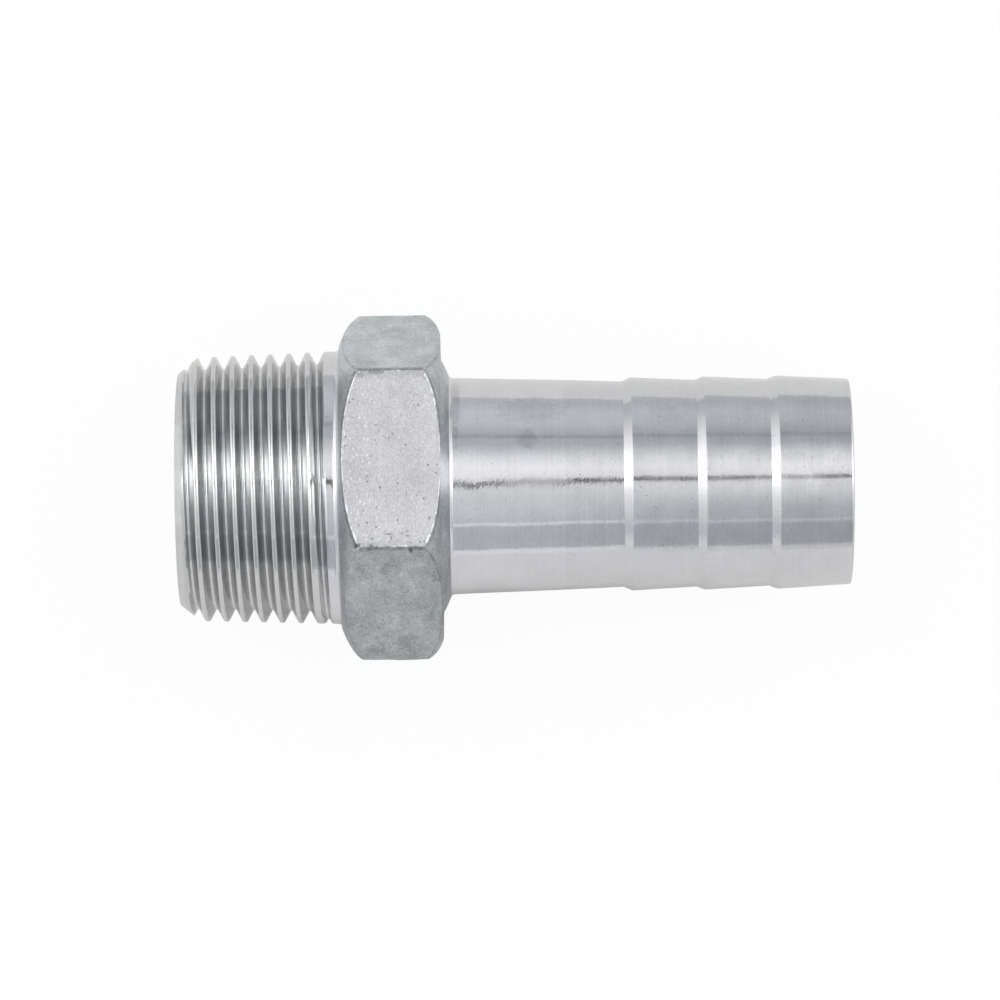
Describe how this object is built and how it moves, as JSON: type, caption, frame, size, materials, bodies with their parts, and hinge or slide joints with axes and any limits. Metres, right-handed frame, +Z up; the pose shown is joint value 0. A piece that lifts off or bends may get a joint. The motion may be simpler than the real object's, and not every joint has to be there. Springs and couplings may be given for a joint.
{
  "type": "hose barb tail",
  "caption": "One-piece hexagon hose tail with a male taper pipe thread, a spanner hexagon and a barbed tail that a hose is pushed over and clamped on.",
  "frame": {"origin": "on the axis of the bore, at the gauge plane of the taper thread, 10.4 mm from the end face of the thread", "axes": "+X along the bore axis, from the thread to the tip of the barbed tail; +Z up through the middle of the top flat of the hexagon, and -Z through the flat that the part lies on"},
  "size_m": [0.0831, 0.0436, 0.038],
  "materials": {
    "stainless_steel": "bright turned thread and tail, shot-blasted cast hexagon"
  },
  "bodies": {
    "root": {"hose_tail": "stainless_steel"}
  },
  "joints": []
}
